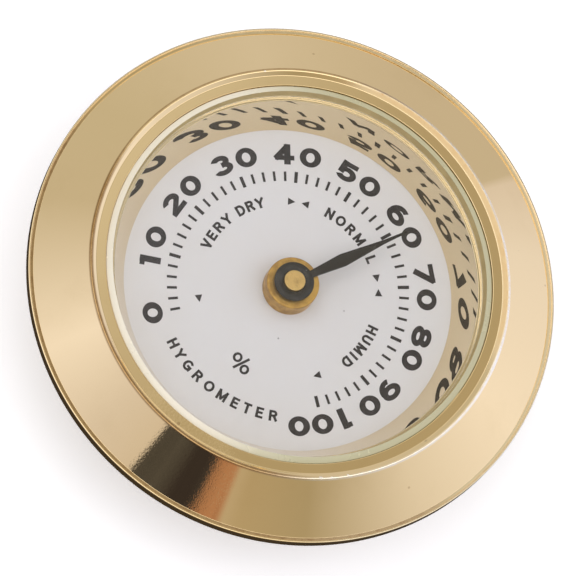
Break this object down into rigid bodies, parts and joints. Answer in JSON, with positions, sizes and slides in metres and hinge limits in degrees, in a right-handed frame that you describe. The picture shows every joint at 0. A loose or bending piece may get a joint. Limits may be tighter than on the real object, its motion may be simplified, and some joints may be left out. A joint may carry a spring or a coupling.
{
  "type": "dial hygrometer",
  "caption": "Round gilt panel hygrometer: conical bezel, bevelled glass over a mirror ring, white humidity dial with black lance pointer, vented drum behind.",
  "frame": {"origin": "middle of the flat back of the drum, at its lowest point", "axes": "+Z out of the dial towards the reader, +Y towards twelve o'clock on the dial, +X to the reader's right"},
  "size_m": [0.045, 0.045, 0.0136],
  "materials": {
    "gilt_polished": "polished gilt, faint turned lines",
    "gilt_mirror": "mirror-polished gilt",
    "gilt_satin": "satin gilt over pressed sheet",
    "window_glass": "clear, flat, ground bevel",
    "clear_nylon": "translucent nylon",
    "dial_white": "satin white paint with black printing",
    "turned_brass": "turned brass, slightly darkened",
    "sheet_brass": "stamped sheet brass, grained",
    "spring_steel": "spring steel",
    "screw_steel": "bright zinc plate",
    "moisture_film": "thin cast film",
    "pointer_black": "semi-gloss black paint"
  },
  "bodies": {
    "case": {"bezel": "gilt_polished", "glass": "window_glass", "glass_gasket": "clear_nylon", "reflector_ring": "gilt_mirror", "dial_plate": "dial_white", "snap_ring": "spring_steel", "case_cup": "gilt_satin", "hub_bush": "turned_brass", "hub_nut": "turned_brass", "top_plate": "sheet_brass", "rear_plate": "sheet_brass", "pillars": "turned_brass", "pillar_screws": "screw_steel", "friction_washer": "spring_steel"},
    "regulator": {"adjuster": "turned_brass", "regulator_lever": "sheet_brass", "coil_stud": "turned_brass", "coil_metal_strip": "spring_steel", "coil_moisture_film": "moisture_film"},
    "pointer": {"spindle": "turned_brass", "coil_collet": "turned_brass", "thrust_washer": "clear_nylon", "pointer_collar": "pointer_black", "pointer_blade": "pointer_black"}
  },
  "joints": [
    {"name": "calibration_turn", "type": "hinge", "parent": "case", "child": "regulator", "pos_m": [0, 0, 0], "axis": [0, 0, 1], "range_deg": [-30, 30]},
    {"name": "pointer_turn", "type": "hinge", "parent": "regulator", "child": "pointer", "pos_m": [0, 0, 0], "axis": [0, 0, 1], "range_deg": [-103.7, 166.3], "stiffness_Nm_per_rad": 0.000005}
  ]
}
